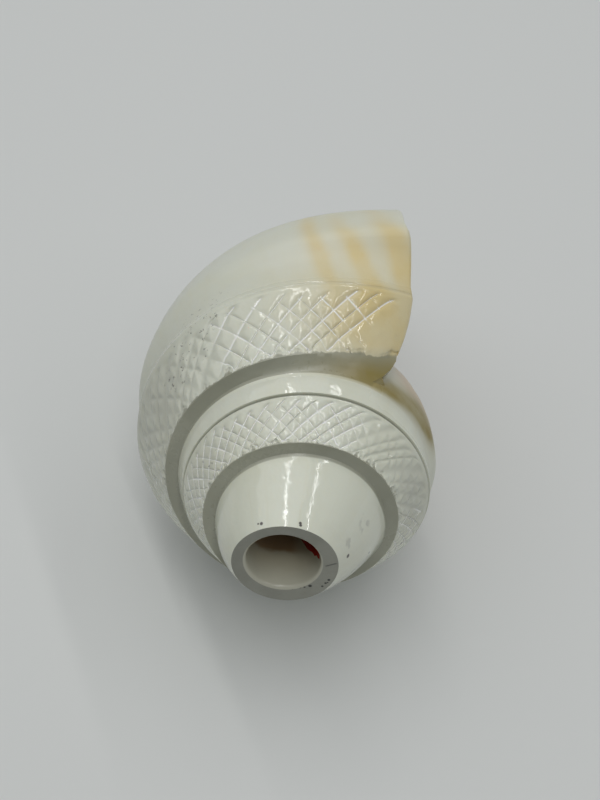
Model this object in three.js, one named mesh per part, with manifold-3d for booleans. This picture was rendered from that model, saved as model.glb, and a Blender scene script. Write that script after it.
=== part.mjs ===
import * as THREE from 'three';
import Module from 'manifold-3d';

// Sizes in millimetres, angles in degrees, and places along the coil in turns from the lip (0) back
// toward the apex (negative). Heights run down the shell axis, from the sawn tip face to the canal end.

// Coil of the outer surface
const GROWTH = 1.56; // widening in one turn
const APEX_RISE = 11.8; // how far the grown apex stood above the saw cut
const LIP_ANGLE = 57.6; // where the lip stands around the axis
const SHOULDER_R = 33.6; // outer edge of the carved ledge, at the lip
const SHOULDER_H = 41.5; // the same edge, below the grown apex
const GROOVE_R = 43.7; // carved groove under the hatched band, at the lip
const GROOVE_H = 55.5;
const SUTURE_R = 46.9; // where the next turn sits against this one
const SUTURE_H = 64.1;
const PARIETAL_R = 43.7; // the same place beyond the lip, where no next turn covers it
const LIP_DROP = 8.0; // the shoulder runs down by this much just before the lip
const LIP_DROP_TURNS = 0.055;
const LIP_FLARE = 0.25; // the flank opens by this share just before the lip
const LIP_FLARE_TURNS = 0.08;
const LIP_SLANT = 0.034; // turns by which the middle of the lip stands back from its shoulder corner
const LIP_CROWN = 0.005; // turns by which its rounded upper corner stands back further
const LIP_TUCK = 0.022; // turns by which its foot is drawn back along the suture

// Flank of the last turn, from below the suture to the canal end: radius and depth below grown apex
const FLANK = [[46, 71], [43, 86.5], [30.1, 99.5], [18.1, 110.5], [14, 124], [11.5, 132]];

// Carving
const LEDGE_START = -1.625; // where the first ledge begins, underneath the spire
const LEDGE_FADE = 0.17; // turns over which it reaches its full depth
const HATCH_PER_TURN = 48; // crossing lines of each slant in one turn
const HATCH_CELLS = 6; // half lozenges across the hatched band
const HATCH_DEPTH = 0.7;
const GROOVE_HALF = 0.012; // half its width, as a share of the flank
const GROOVE_DEPTH = 0.8;

// Sawn and bored tip
const TIP_R = 11;
const TIP_BULGE = 0.7; // swelling of the cone, which dies away where the first ledge begins
const CUT_TILT_X = 0.04; // slope of the saw cut
const CUT_TILT_Y = -0.08;
// Bore, as depth, radius and radius on the low side, where it is a shallow cup
const BORE = [[17, 6.3, 4.6], [12, 7.5, 4.6], [8.5, 7.5, 4.6], [6.5, 7.5, 5]];
BORE.push([4.5, 7.5, 6.1], [2.5, 7.55, 7], [0, 7.6, 7.6], [-3, 7.6, 7.6]);
const BORE_DEPTH = 19;
const BORE_X = -0.4; // the bore is a little off the axis
const BORE_Y = 0.7;
const BORE_SIDES = 32;

// Hollow
const LIP_WALL = 2.4; // wall behind the lip
const LIP_BEVEL = 1.0; // the wall thins by this much at the very edge
const UNDER_WALL = 8.4; // underside of the last turn, thickened from inside
const CALLUS = 0.5; // glaze over the turn inside
const CANAL_DEPTH = 3.6; // trough of the canal in the columella
const HOLLOW_START = -2.26; // deepest end of the coiled hollow, which opens into the bore
const HOLLOW_END = 0.17; // run-out past the lip
const HOLLOW_STEP = 1 / 30;
const FOLD_HEIGHT = 1.1; // folds on the columella

// Resting place: the shell lies on its flank and canal end, with the spire raised toward -Y
const REST_ROLL = 92.72; // direction around the axis that ends up on top
const REST_PITCH = 20.96; // rise of the spire
const REST_WEAR = 0.45; // worn flat where it lies

// Mesh
const PER_TURN = 2 * HATCH_PER_TURN;
const COLUMNS = Math.round(-LEDGE_START * PER_TURN);
const TIP_ROWS = 3;
const BODY_STEPS = [0.22, 0.29, 0.36, 0.43, 0.51, 0.59, 0.68, 0.77, 0.88, 1];
const SUTURE_S = 1 / 7; // place of the suture along the flank
const BAND_S = -0.25; // place of the shoulder edge, ahead of the groove

const clamp01 = (x) => Math.min(1, Math.max(0, x));
const ease = (x) => clamp01(x) ** 2 * (3 - 2 * clamp01(x));
const mix = (a, b, k) => a.map((v, n) => v + (b[n] - v) * k);
const size = (t) => GROWTH ** t;
const lipDrop = (t) => LIP_DROP * Math.exp(Math.min(t, 0) / LIP_DROP_TURNS);
const ledgeGain = (t) => ease((t - LEDGE_START) / LEDGE_FADE);

// Points of the outer profile at turn t, as [radius, height]
function shoulder(t) {
  return [SHOULDER_R * size(t), SHOULDER_H * size(t) - APEX_RISE + lipDrop(t)];
}

function flank(t, s) {
  const suture = [SUTURE_R + (PARIETAL_R - SUTURE_R) * ease((t + 1.02) / 0.14), SUTURE_H];
  const points = [[GROOVE_R, GROOVE_H], suture, ...FLANK].map((p) => new THREE.Vector2(...p));
  const p = new THREE.SplineCurve(points).getPoint(clamp01(s));
  const flare = 1 + LIP_FLARE * Math.exp(Math.min(t, 0) / LIP_FLARE_TURNS) * ease(s / 0.25);
  const straighten = ease((s - 0.3) / 0.6);
  const drop = lipDrop(t) * (1 - ease((s - 0.2) / 0.6));
  return [p.x * size(t) * flare, p.y * size(t * (1 - straighten)) - APEX_RISE + drop];
}

function profile(t, s) {
  return s < 0 ? mix(flank(t, 0), shoulder(t), s / BAND_S) : flank(t, s);
}

function corner(t) {
  const [r, h] = flank(t - 1, SUTURE_S);
  return [r + 1.4 * (1 - ledgeGain(t)), h];
}

// Moves a profile point along the outward normal
function offset(t, s, distance) {
  const [r, h] = profile(t, s);
  const [r0, h0] = profile(t, s - 0.01);
  const [r1, h1] = profile(t, Math.min(1, s + 0.01));
  const length = Math.hypot(r1 - r0, h1 - h0);
  return [r + (distance * (h1 - h0)) / length, h - (distance * (r1 - r0)) / length];
}

function place([r, h], t) {
  const angle = THREE.MathUtils.degToRad(LIP_ANGLE - 360 * t);
  return [r * Math.cos(angle), r * Math.sin(angle), -h];
}

// Indexed mesh under construction
class Skin {
  points = [];
  faces = [];

  point(p) {
    this.points.push(p);
    return this.points.length - 1;
  }

  // Corners are given clockwise as seen from outside
  face(a, b, c) {
    if (a !== b && b !== c && c !== a) this.faces.push([c, b, a]);
  }

  quad(a, b, c, d, otherDiagonal = false) {
    if (otherDiagonal) {
      this.face(a, b, d);
      this.face(b, c, d);
    } else {
      this.face(a, b, c);
      this.face(a, c, d);
    }
  }

  // Joins two chains that run the same way, stepping along whichever is behind
  zip(left, right, key) {
    let i = 0;
    let j = 0;
    while (i < left.length - 1 || j < right.length - 1) {
      const leftNext = i < left.length - 1 ? key(this.points[left[i + 1]]) : Infinity;
      const rightNext = j < right.length - 1 ? key(this.points[right[j + 1]]) : Infinity;
      if (leftNext <= rightNext) {
        this.face(left[i], right[j], left[i + 1]);
        i += 1;
      } else {
        this.face(left[i], right[j], right[j + 1]);
        j += 1;
      }
    }
  }

  geometry() {
    const geometry = new THREE.BufferGeometry();
    geometry.setAttribute('position', new THREE.Float32BufferAttribute(this.points.flat(), 3));
    geometry.setIndex(this.faces.flat());
    return geometry;
  }
}

// Rows of the carved strip, from the ledge corner to the next suture
const GROOVE_ROW = HATCH_CELLS + 2;
const STRIP_ROWS = GROOVE_ROW + 3;

function stripPlace(row) {
  if (row < GROOVE_ROW) return BAND_S - ((row - 1) / HATCH_CELLS) * (GROOVE_HALF + BAND_S);
  return [0, GROOVE_HALF, 0.07, SUTURE_S][row - GROOVE_ROW];
}

// Turn of a mesh column at place s, bent back toward the slanted lip in the last columns
function columnTurn(column, s) {
  const turn = (column - COLUMNS) / PER_TURN;
  const back = LIP_SLANT * ease((s - BAND_S) / 0.6) + LIP_CROWN * ease((s - 0.08) / 0.22);
  const tuck = LIP_TUCK * clamp01((BAND_S - s) / 0.04) ** 2 * Math.exp(turn / 0.03);
  return turn - tuck - back * (1 - ease((s - 0.45) / 0.55)) * Math.exp(turn / 0.1);
}

function stripPoint(column, row) {
  const s = stripPlace(row);
  const t = columnTurn(column, s);
  if (row === 0) return place(corner(t), t);
  const crossing = (column + row) % 2 === 0 ? HATCH_DEPTH * Math.sqrt(size(t)) : 0;
  let sink = 0;
  if (row === 1) sink = 0.4 * crossing;
  else if (row < GROOVE_ROW) sink = crossing;
  else if (row === GROOVE_ROW) sink = GROOVE_DEPTH;
  const plain = mix(corner(t), flank(t, SUTURE_S), row / STRIP_ROWS);
  return place(mix(plain, offset(t, s, -sink), ledgeGain(t)), t);
}

function bodyPoint(column, s) {
  const t = columnTurn(column, s);
  return place(flank(t, s), t);
}

function outside() {
  const skin = new Skin();
  const seam = COLUMNS - PER_TURN;

  // Carved strip, each turn sharing its last row with the first row of the next turn
  const strip = [];
  for (let i = 0; i <= COLUMNS; i += 1) {
    strip.push([]);
    for (let j = 0; j < STRIP_ROWS; j += 1) strip[i].push(skin.point(stripPoint(i, j)));
  }
  for (let i = 0; i <= COLUMNS; i += 1) {
    strip[i].push(i <= seam ? strip[i + PER_TURN][0] : skin.point(stripPoint(i, STRIP_ROWS)));
  }
  for (let i = 0; i < COLUMNS; i += 1) {
    for (let j = 0; j < STRIP_ROWS; j += 1) {
      const hatched = j >= 1 && j < GROOVE_ROW && (i + j) % 2 !== 0;
      skin.quad(strip[i][j], strip[i][j + 1], strip[i + 1][j + 1], strip[i + 1][j], hatched);
    }
  }

  // Base and canal of the last turn
  const body = [];
  for (let i = seam; i <= COLUMNS; i += 1) {
    const row = [strip[i][STRIP_ROWS]];
    for (const step of BODY_STEPS) row.push(skin.point(bodyPoint(i, step)));
    body.push(row);
  }
  for (let i = 0; i < PER_TURN; i += 1) {
    for (let j = 0; j < BODY_STEPS.length; j += 1) {
      skin.quad(body[i][j], body[i][j + 1], body[i + 1][j + 1], body[i + 1][j]);
    }
  }

  // Lip face, and the flat end of the canal
  const down = (p) => -p[2];
  skin.zip(body[0], [...strip[COLUMNS], ...body[PER_TURN].slice(1)], down);
  const canalEnd = body.map((row) => row[BODY_STEPS.length]);
  const [endRadius, endHeight] = flank(0, 1);
  const hub = skin.point(place([0.2 * endRadius, endHeight], 0.5));
  for (let i = 0; i < PER_TURN; i += 1) skin.face(hub, canalEnd[i + 1], canalEnd[i]);
  skin.face(hub, canalEnd[0], canalEnd[PER_TURN]);

  // Smooth cone of the tip, from the saw cut down to the first ledge
  const cone = [];
  for (let i = 0; i <= PER_TURN; i += 1) {
    const angle = THREE.MathUtils.degToRad(LIP_ANGLE - (360 * (i - COLUMNS)) / PER_TURN);
    const x = TIP_R * Math.cos(angle);
    const y = TIP_R * Math.sin(angle);
    const top = [x, y, -(CUT_TILT_X * x + CUT_TILT_Y * y)];
    const foot = skin.points[strip[i][0]];
    const swell = TIP_BULGE * ease(Math.min(i, PER_TURN - i) / 12);
    const column = [];
    for (let k = 0; k < TIP_ROWS; k += 1) {
      const p = mix(top, foot, k / TIP_ROWS);
      const out = (swell * Math.sin((Math.PI * k) / TIP_ROWS)) / Math.hypot(p[0], p[1]);
      column.push(i < PER_TURN ? skin.point([p[0] * (1 + out), p[1] * (1 + out), p[2]]) : cone[0][k]);
    }
    cone.push([...column, strip[i][0]]);
  }
  for (let i = 0; i < PER_TURN - 1; i += 1) {
    for (let k = 0; k < TIP_ROWS; k += 1) {
      skin.quad(cone[i][k], cone[i][k + 1], cone[i + 1][k + 1], cone[i + 1][k]);
    }
  }
  const closing = [...cone[0].slice(0, TIP_ROWS), ...strip[0]];
  skin.zip(closing, cone[PER_TURN - 1], down);

  // Saw cut
  const centre = skin.point([0, 0, 0]);
  for (let i = 0; i < PER_TURN; i += 1) skin.face(centre, cone[i][0], cone[(i + 1) % PER_TURN][0]);
  return skin.geometry();
}

// Section of the coiled hollow at turn t: wall side down to the canal, then back up the columella
const WALL_STEPS = [-0.13, -0.03, 0.1, 0.24, 0.38, 0.52, 0.66, 0.82, 1];
const FOLD_STEPS = [0.5, 0.53, 0.56, 0.59, 0.62, 0.65, 0.68];
const COLUMELLA_STEPS = [1, 0.86, 0.76, ...FOLD_STEPS.toReversed(), 0.43, 0.35];

function hollowSection(t) {
  const reach = 0.72 + 0.28 * ease((t + 0.5) / 0.35);
  const squeeze = (s) => (s < 0.3 ? s : 0.3 + ((s - 0.3) * (reach - 0.3)) / 0.7);
  const open = ease((t + 0.45) / 0.3) * (1 - ease((t - 0.03) / 0.12));
  const thick = ease((-0.24 - t) / 0.2) * (1 - 0.85 * ease((-0.65 - t) / 0.2));
  const fullWall = LIP_WALL + (UNDER_WALL - LIP_WALL) * thick;
  const wall = fullWall * size(0.7 * t) - LIP_BEVEL * Math.exp(Math.min(t, 0) / 0.012);
  const runOut = 6 * ease((t + 0.32) / 0.15);
  const join = 5 * ease((-1.9 - t) / 0.3);
  const section = WALL_STEPS.map((s) => offset(t, squeeze(s), -wall));
  for (const s of COLUMELLA_STEPS) {
    const canal = open * ease((s - 0.6) / 0.3);
    const fold = FOLD_STEPS.indexOf(s) % 2 === 1 ? FOLD_HEIGHT * size(t) : 0;
    const glaze = CALLUS - (CALLUS + CANAL_DEPTH) * canal - join;
    section.push(offset(t - 1, squeeze(s), glaze + fold));
  }
  section[WALL_STEPS.length - 1][1] += runOut;
  section[WALL_STEPS.length][1] += runOut;
  return section;
}

function hollow() {
  const skin = new Skin();
  const loops = [];
  const count = Math.round((HOLLOW_END - HOLLOW_START) / HOLLOW_STEP);
  for (let i = 0; i <= count; i += 1) {
    const t = HOLLOW_END - (count - i) * HOLLOW_STEP;
    loops.push(hollowSection(t).map((p) => skin.point(place(p, t))));
  }
  const width = loops[0].length;
  for (let i = 0; i < count; i += 1) {
    for (let j = 0; j < width; j += 1) {
      const next = (j + 1) % width;
      skin.quad(loops[i][j], loops[i][next], loops[i + 1][next], loops[i + 1][j]);
    }
  }
  const down = (p) => -p[2];
  const walls = WALL_STEPS.length;
  skin.zip(loops[0].slice(0, walls), loops[0].slice(walls).reverse(), down);
  skin.zip(loops[count].slice(walls).reverse(), loops[count].slice(0, walls), down);
  return skin.geometry();
}

function bore() {
  const skin = new Skin();
  const rings = [];
  for (let i = 0; i < BORE_SIDES; i += 1) {
    const angle = (2 * Math.PI * i) / BORE_SIDES;
    const low = Math.max(0, -Math.cos(angle - THREE.MathUtils.degToRad(REST_ROLL))) ** 2;
    rings.push([]);
    for (const [depth, radius, lowRadius] of BORE) {
      const r = radius + (lowRadius - radius) * low;
      rings[i].push(skin.point([BORE_X + r * Math.cos(angle), BORE_Y + r * Math.sin(angle), -depth]));
    }
  }
  const end = skin.point([BORE_X, BORE_Y, -BORE_DEPTH]);
  const top = skin.point([BORE_X, BORE_Y, 3]);
  const last = BORE.length - 1;
  for (let i = 0; i < BORE_SIDES; i += 1) {
    const a = rings[i];
    const b = rings[(i + 1) % BORE_SIDES];
    for (let n = 0; n < last; n += 1) skin.quad(a[n], a[n + 1], b[n + 1], b[n]);
    skin.face(end, a[0], b[0]);
    skin.face(top, b[last], a[last]);
  }
  return skin.geometry();
}

function toSolid(wasm, geometry) {
  const triVerts = new Uint32Array(geometry.getIndex().array);
  const vertProperties = geometry.getAttribute('position').array;
  return new wasm.Manifold(new wasm.Mesh({ numProp: 3, vertProperties, triVerts }));
}

function fromSolid(solid) {
  const { vertProperties, triVerts } = solid.getMesh();
  const geometry = new THREE.BufferGeometry();
  geometry.setAttribute('position', new THREE.Float32BufferAttribute(vertProperties, 3));
  geometry.setIndex(new THREE.Uint32BufferAttribute(triVerts, 1));
  return geometry;
}

const wasm = await Module();
wasm.setup();
const shell = toSolid(wasm, outside()).subtract(toSolid(wasm, hollow())).subtract(toSolid(wasm, bore()));
const laid = shell.rotate([0, 0, 90 - REST_ROLL]).rotate([90 - REST_PITCH, 0, 0]);
const ground = laid.boundingBox().min[2] + REST_WEAR;
const worn = laid.trimByPlane([0, 0, 1], ground);
const { min, max } = worn.boundingBox();
const geometry = fromSolid(worn);
geometry.translate(-0.5 * (min[0] + max[0]), -0.5 * (min[1] + max[1]), -ground);
geometry.computeVertexNormals();

const ivory = new THREE.MeshStandardMaterial({ color: 0xe6e2d6, roughness: 0.25, metalness: 0 });
const mesh = new THREE.Mesh(geometry, ivory);
mesh.name = 'shell';
const conch = new THREE.Group();
conch.name = 'conch_shell';
conch.add(mesh);
export default conch;
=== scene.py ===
import math

import bpy
import numpy as np
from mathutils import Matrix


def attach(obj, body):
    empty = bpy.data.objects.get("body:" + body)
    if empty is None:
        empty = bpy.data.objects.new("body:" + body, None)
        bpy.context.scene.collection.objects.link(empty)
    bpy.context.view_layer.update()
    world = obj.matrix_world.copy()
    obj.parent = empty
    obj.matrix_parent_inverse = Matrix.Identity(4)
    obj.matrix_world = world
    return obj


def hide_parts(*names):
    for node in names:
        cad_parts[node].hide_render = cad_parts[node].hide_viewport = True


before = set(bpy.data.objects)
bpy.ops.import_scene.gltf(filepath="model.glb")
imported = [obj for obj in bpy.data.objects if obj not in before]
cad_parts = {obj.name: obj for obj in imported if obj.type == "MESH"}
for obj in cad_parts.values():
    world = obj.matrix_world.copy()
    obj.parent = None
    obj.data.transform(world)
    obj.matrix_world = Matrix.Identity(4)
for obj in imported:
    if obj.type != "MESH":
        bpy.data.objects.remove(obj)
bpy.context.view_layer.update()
rng = np.random.default_rng(11)

# Lengths of the shell are in millimetres. Places on it are t, in turns from the lip (0) back toward the
# apex (negative), and s, from the shoulder edge (-0.25) over the groove (0) to the canal end (1).

# Coil of the outer surface
GROWTH = 1.56  # widening in one turn
APEX_RISE = 11.8  # how far the grown apex stood above the saw cut
LIP_ANGLE = 57.6  # where the lip stands around the axis, in degrees
SHOULDER_R, SHOULDER_H = 33.6, 41.5  # outer edge of the carved ledge, at the lip
GROOVE_R, GROOVE_H = 43.7, 55.5  # carved groove under the hatched band
SUTURE_R, SUTURE_H = 46.9, 64.1  # where the next turn sits against this one
PARIETAL_R = 43.7  # the same place beyond the lip, where no next turn covers it
PARIETAL_START, PARIETAL_TURNS = -1.02, 0.14
FLANK = [(46, 71), (43, 86.5), (30.1, 99.5), (18.1, 110.5), (14, 124), (11.5, 132)]
SUTURE_S, BAND_S = 1 / 7, -0.25

# Lip
LIP_DROP, LIP_DROP_TURNS = 8.0, 0.055  # the shoulder runs down just before the lip
LIP_FLARE, LIP_FLARE_TURNS = 0.25, 0.08  # the flank opens just before the lip
LIP_SLANT = 0.034  # turns by which the middle of the lip stands back from its shoulder corner
LIP_CROWN = 0.005  # turns by which its rounded upper corner stands back further
LIP_TUCK, LIP_TUCK_TURNS = 0.022, 0.03  # turns by which its foot is drawn back along the suture
LIP_BEND_TURNS = 0.1  # reach of the slant behind the lip
LIP_ROUNDING = (0.10, 0.45)  # sink of the last two columns of the mesh

# Carving
LEDGE_START, LEDGE_FADE = -1.625, 0.17
LEDGE_S = 0.05  # span of s given to the rows of the ledge
LEDGE_SHARES = np.array([0, 0.08, 0.35, 0.7, 0.96])  # rows of the ledge, from its corner to its edge
LEDGE_DIP = np.array([0, 0.3, 0.35, 0.22, 0.05])  # hollow of the ledge at these rows
FADED_STEP_R, FADED_STEP_H = 1.4, 0.8  # room left where the ledge has faded out
UNDERCUT = 0.9
HALF_CELLS = 96  # half lozenges in one turn
HATCH_CELLS = 6  # half lozenges across the band
HATCH_DEPTH = 0.62
GROOVE_HALF, GROOVE_DEPTH = 0.012, 0.8
RAGGED_S, RAGGED_SINK = 0.009, 0.16  # chipping of the shoulder edge

# Tip and bore
TIP_R, TIP_BULGE = 11.0, 0.7
TIP_ROUNDING = 0.15
CUT_TILT_X, CUT_TILT_Y = 0.04, -0.08  # slope of the saw cut
BORE_R, BORE_DEPTH, BORE_X, BORE_Y = 7.6, 19.0, -0.4, 0.7
BORE_SIDES = 96
CUP_DEPTHS = [0, 1.5, 3, 5, 7, 8.5, 12]
CUP_RADII = [7.6, 7.4, 6.9, 5.8, 4.6, 4.4, 4.4]  # low side of the bore at these depths
BEVEL_OUT = np.array([-0.02, 0.12, 0.4, 0.9, 1.6])  # bevel of the hole, for a width of one
BEVEL_DOWN = np.array([1.1, 0.62, 0.25, 0.02, -0.6])
BEVEL_WIDEST = 265  # direction of its widest part, in degrees

# Hollow
LIP_WALL, LIP_BEVEL, LIP_BEVEL_TURNS = 2.4, 1.0, 0.012
UNDER_WALL = 8.4  # underside of the last turn, thickened from inside
CALLUS, CANAL_DEPTH = 0.5, 3.6
FOLD_HEIGHT, FOLD_S, FOLD_FIRST, FOLD_LAST = 1.1, 0.06, 0.5, 0.68
HOLLOW_START, HOLLOW_END, HOLLOW_STEPS = -2.26, 0.17, 72
SQUEEZE_S = 0.3  # beyond this place the section is shortened in the early turns

# Place at rest
REST_ROLL, REST_PITCH = 92.72, 20.96
SHIFT = np.array([4.0144, -56.7452, 50.8032])

# Mesh
FINE = 7  # mesh cells in one half lozenge
PER_TURN = HALF_CELLS * FINE
COLUMNS = round(-LEDGE_START * PER_TURN)
SEAM = COLUMNS - PER_TURN  # column of the carved strip where the last turn begins
LEDGE_CELLS, BAND_CELLS, GROOVE_CELLS, SMOOTH_CELLS = 5, HATCH_CELLS * FINE, 6, 4
TIP_CELLS = 9
SMOOTH_ANGLE = 36  # sharper edges than this are kept, in degrees

# Marks that each vertex carries, and those of an uncut place
MARKS = ("turn", "along", "cut", "line", "cross")
UNCUT = (0.0, 0.5, 0.5)
TIP_T, TIP_S = -0.01, -0.5  # the cone is marked as a little earlier than the strip
BORE_T, BORE_S = -2.5, -2.0  # marks of the bore, clear of every place on the coil


def ease(x):
    """Smooth step from 0 to 1."""
    x = np.clip(x, 0, 1)
    return x * x * (3 - 2 * x)


def size(t):
    return GROWTH ** t


def lip_drop(t):
    return LIP_DROP * np.exp(np.minimum(t, 0) / LIP_DROP_TURNS)


def ledge_gain(t):
    """Share of its full depth that the ledge has at turn t."""
    return ease((t - LEDGE_START) / LEDGE_FADE)


def spline(t, s):
    """Smooth curve through the groove, the suture and the flank points."""
    n = len(FLANK) + 1
    x = np.clip(s, 0, 1) * n
    i = np.minimum(x.astype(int), n - 1)
    f = x - i
    suture_r = SUTURE_R + (PARIETAL_R - SUTURE_R) * ease((t - PARIETAL_START) / PARIETAL_TURNS)
    radii = np.array([GROOVE_R, 0.0] + [p[0] for p in FLANK])
    heights = np.array([GROOVE_H, SUTURE_H] + [p[1] for p in FLANK])
    out = []
    for values, suture in ((radii, suture_r), (heights, SUTURE_H)):
        around = [np.clip(i + step, 0, n) for step in (-1, 0, 1, 2)]
        a, b, c, d = (np.where(k == 1, suture, values[k]) for k in around)
        u, v = 0.5 * (c - a), 0.5 * (d - b)
        cubic = (2 * b - 2 * c + u + v) * f**3
        square = (-3 * b + 3 * c - 2 * u - v) * f**2
        out.append(cubic + square + u * f + b)
    return out


def flank(t, s):
    """Radius and height of the outer surface, from the groove to the canal end."""
    r, h = spline(t, s)
    flare = 1 + LIP_FLARE * np.exp(np.minimum(t, 0) / LIP_FLARE_TURNS) * ease(s / 0.25)
    drop = lip_drop(t) * (1 - ease((s - 0.2) / 0.6))
    growing = t * (1 - ease((s - 0.3) / 0.6))
    return r * size(t) * flare, h * size(growing) - APEX_RISE + drop


def profile(t, s):
    """Radius and height of the outer surface, from the shoulder edge to the canal end."""
    r, h = flank(t, np.maximum(s, 0))
    k = np.clip(s / BAND_S, 0, None)
    shoulder_r = SHOULDER_R * size(t)
    shoulder_h = SHOULDER_H * size(t) - APEX_RISE + lip_drop(t)
    return r + (shoulder_r - r) * k, h + (shoulder_h - h) * k


def offset(t, s, distance):
    """Places moved out from the surface by a distance."""
    step = 0.01
    r, h = profile(t, s)
    r0, h0 = profile(t, s - step)
    r1, h1 = profile(t, np.minimum(1, s + step))
    length = np.hypot(r1 - r0, h1 - h0)
    return r + distance * (h1 - h0) / length, h - distance * (r1 - r0) / length


def corner(t):
    """Inner corner of the ledge, on the turn before."""
    r, h = flank(t - 1, np.full_like(t, SUTURE_S))
    return r + FADED_STEP_R * (1 - ledge_gain(t)), h


def place(r, h, t):
    """Points in the shell's own axes."""
    angle = np.radians(LIP_ANGLE - 360 * t)
    return np.stack([r * np.cos(angle), r * np.sin(angle), -h], -1)


def column_turn(turn, s):
    """Turn of a mesh column at place s, bent back toward the slanted lip."""
    back = LIP_SLANT * ease((s - BAND_S) / 0.6) + LIP_CROWN * ease((s - 0.08) / 0.22)
    tuck = LIP_TUCK * np.clip((BAND_S - s) / LEDGE_S, 0, 1) ** 2 * np.exp(turn / LIP_TUCK_TURNS)
    return turn - tuck - back * (1 - ease((s - 0.45) / 0.55)) * np.exp(turn / LIP_BEND_TURNS)


def to_row(points):
    """From the shell's own axes to its place at rest, in metres."""
    z, x = math.radians(90 - REST_ROLL), math.radians(90 - REST_PITCH)
    turn_z = np.array([[math.cos(z), -math.sin(z), 0], [math.sin(z), math.cos(z), 0], [0, 0, 1]])
    turn_x = np.array([[1, 0, 0], [0, math.cos(x), -math.sin(x)], [0, math.sin(x), math.cos(x)]])
    return (points @ (turn_x @ turn_z).T + SHIFT) / 1000


class Skin:
    """Vertices with their marks, and triangles, clockwise from outside."""

    def __init__(self):
        self.points = []
        self.marks = []
        self.faces = []
        self.sawn = []
        self.count = 0

    def grid(self, points, *marks):
        """Adds points with their marks, and returns their numbers."""
        points = np.asarray(points, float)
        shape = points.shape[:-1]
        n = int(np.prod(shape))
        self.points.append(points.reshape(-1, 3))
        marks = marks + UNCUT[len(marks) - 2:]
        spread = [np.broadcast_to(mark, shape) for mark in marks]
        self.marks.append(np.stack(spread, -1).reshape(-1, len(MARKS)))
        ids = np.arange(self.count, self.count + n).reshape(shape)
        self.count += n
        return ids

    def quads(self, ids, other=None):
        """Two triangles per cell of a grid of ids; other marks cells cut along the second diagonal."""
        a, b, c, d = ids[:-1, :-1], ids[:-1, 1:], ids[1:, 1:], ids[1:, :-1]
        if other is None:
            other = np.zeros(a.shape, bool)
        plain = ~other
        self.add(a[plain], b[plain], c[plain])
        self.add(a[plain], c[plain], d[plain])
        self.add(a[other], b[other], d[other])
        self.add(b[other], c[other], d[other])

    def add(self, p, q, r, sawn=0):
        """Adds triangles, without those that have two corners in one."""
        f = np.stack([np.ravel(r), np.ravel(q), np.ravel(p)], -1)
        f = f[(f[:, 0] != f[:, 1]) & (f[:, 1] != f[:, 2]) & (f[:, 2] != f[:, 0])]
        self.faces.append(f)
        self.sawn.append(np.full(len(f), sawn))

    def zip(self, left, right):
        """Joins two chains that run down the shell, stepping along whichever is behind."""
        down = -np.concatenate(self.points)[:, 2]
        left_end, right_end = len(left) - 1, len(right) - 1
        i = j = 0
        out = []
        while i < left_end or j < right_end:
            if j == right_end or (i < left_end and down[left[i + 1]] <= down[right[j + 1]]):
                out.append((left[i], right[j], left[i + 1]))
                i += 1
            else:
                out.append((left[i], right[j], right[j + 1]))
                j += 1
        self.add(*np.array(out).T)

    def mesh(self, name):
        """Blender mesh of the skin at its place at rest."""
        mesh = bpy.data.meshes.new(name)
        points = to_row(np.concatenate(self.points))
        mesh.from_pydata(points.tolist(), [], np.concatenate(self.faces).tolist())
        mesh.polygons.foreach_set("material_index", np.concatenate(self.sawn).astype(np.int32))
        marks = np.concatenate(self.marks)
        for n, label in enumerate(MARKS):
            write_mark(mesh, label, marks[:, n])
        return mesh


def write_mark(mesh, name, values):
    layer = mesh.attributes.new(name, "FLOAT", "POINT")
    layer.data.foreach_set("value", np.ascontiguousarray(values, np.float32))


# Seeded unevenness of the hand-cut lines
line_depth = rng.random(97)
stroke = rng.random((61, 53))
line_shift = 0.16 * rng.standard_normal(101)
stroke_shift = 0.12 * rng.standard_normal(103)
nicks = rng.standard_normal(4000)


def between(values, x):
    """Seeded values at whole numbers, eased from one to the next."""
    i = np.floor(x).astype(int)
    f = ease(x - i)
    return values[i % len(values)] * (1 - f) + values[(i + 1) % len(values)] * f


def lines(turn, row):
    """Running numbers of the long and the cross lines; a line lies at every whole number."""
    return (turn * HALF_CELLS - row - 1) / 2, (turn * HALF_CELLS + row - 1) / 2


def soft(turn):
    """Stretches of the bands where the hatching is worn low."""
    last = ease((turn + 0.58) / 0.06) * ease((-0.16 - turn) / 0.06)
    return last + ease((turn + 1.04) / 0.06) * ease((-0.82 - turn) / 0.05)


def score(distance, worn):
    """Narrow bottom of a cut, by the distance from its line."""
    return 0.08 * (1 - worn) * ease(1 - distance / 0.2)


def pillow(distance, worn):
    """Wide sides of a cut, which round off the lozenges beside it."""
    reach = 0.95
    crisp = np.clip(1 - distance / reach, 0, 1) ** 2
    return 0.7 * ((1 - worn) * crisp + worn * ease(1 - distance / reach))


def long_depth(line, row):
    """Depth of each long line, which ends before the groove and near the lip."""
    deep = 0.75 + 0.4 * line_depth[line % 97]
    deep = deep * (1 - ease((row - 5.0 - 0.8 * line_depth[(line * 7) % 97]) / 0.5))
    return deep * (1 - 0.95 * ease(((2 * line + 4) / HALF_CELLS + 0.045) / 0.02))


def short_depth(long_place, cross):
    """Depth of each short stroke between two long lines."""
    block = np.floor(long_place).astype(int)
    part = long_place - block
    deep = 0.1 + 0.9 * ease((stroke[cross % 61, block % 53] - 0.35) / 0.4)
    return deep * (1 - ease((part - 0.4 - 0.6 * stroke[(cross * 5) % 61, block % 53]) / 0.2))


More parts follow.
